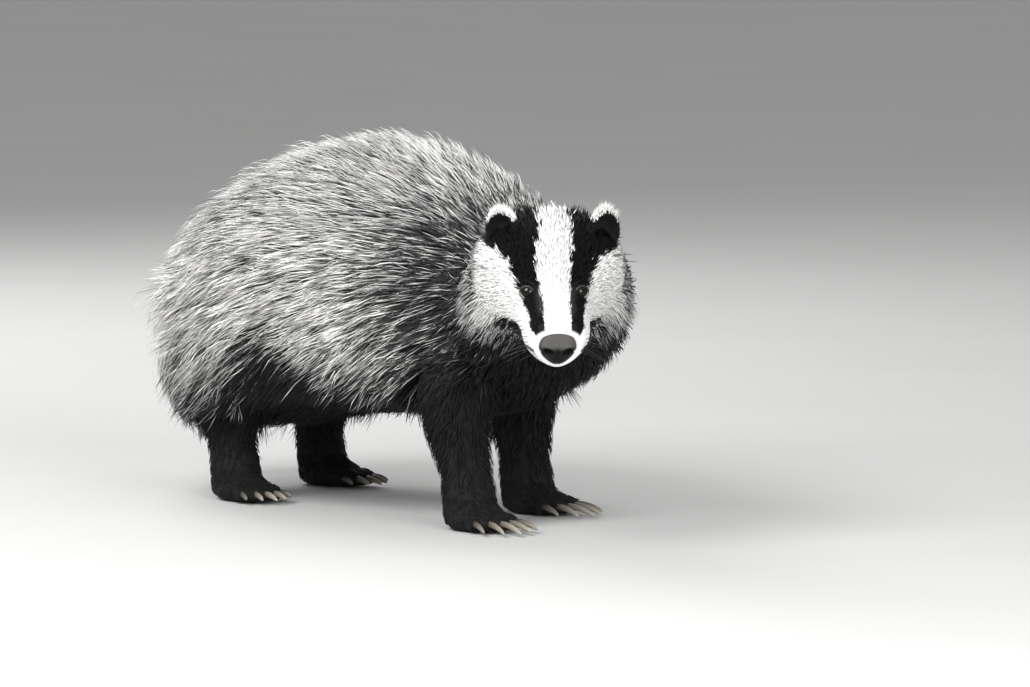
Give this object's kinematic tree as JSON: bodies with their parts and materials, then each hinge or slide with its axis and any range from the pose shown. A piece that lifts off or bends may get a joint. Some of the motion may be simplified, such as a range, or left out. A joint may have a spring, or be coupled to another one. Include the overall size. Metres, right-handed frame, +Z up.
{
  "type": "european badger",
  "caption": "Life-size still model of a european badger, standing with its striped head turned to its right, with a long grizzled coat.",
  "frame": {"origin": "on the floor, under the middle of the badger's bounding box", "axes": "+Z up, -Y the way the badger walks, +X to its left"},
  "size_m": [0.3096, 0.7294, 0.3284],
  "materials": {
    "grey_coat": "long coarse fur, pale at the root, dark banded and white at the tip",
    "striped_fur": "short fur, white with two black stripes over the eyes and ears",
    "black_fur": "short black fur",
    "nose_skin": "moist pebbled black skin",
    "eye": "wet dark brown eye",
    "claw": "dull horn"
  },
  "bodies": {
    "root": {"torso": "grey_coat", "neck": "grey_coat", "tail": "grey_coat", "head": "striped_fur", "nose": "nose_skin", "eye_right": "eye", "ear_right": "black_fur", "foreleg_right": "black_fur", "forefoot_right": "black_fur", "foreclaw_right_1": "claw", "foreclaw_right_2": "claw", "foreclaw_right_3": "claw", "foreclaw_right_4": "claw", "foreclaw_right_5": "claw", "hindleg_right": "black_fur", "hindfoot_right": "black_fur", "hindclaw_right_1": "claw", "hindclaw_right_2": "claw", "hindclaw_right_3": "claw", "hindclaw_right_4": "claw", "hindclaw_right_5": "claw", "eye_left": "eye", "ear_left": "black_fur", "foreleg_left": "black_fur", "forefoot_left": "black_fur", "foreclaw_left_1": "claw", "foreclaw_left_2": "claw", "foreclaw_left_3": "claw", "foreclaw_left_4": "claw", "foreclaw_left_5": "claw", "hindleg_left": "black_fur", "hindfoot_left": "black_fur", "hindclaw_left_1": "claw", "hindclaw_left_2": "claw", "hindclaw_left_3": "claw", "hindclaw_left_4": "claw", "hindclaw_left_5": "claw"}
  },
  "joints": []
}
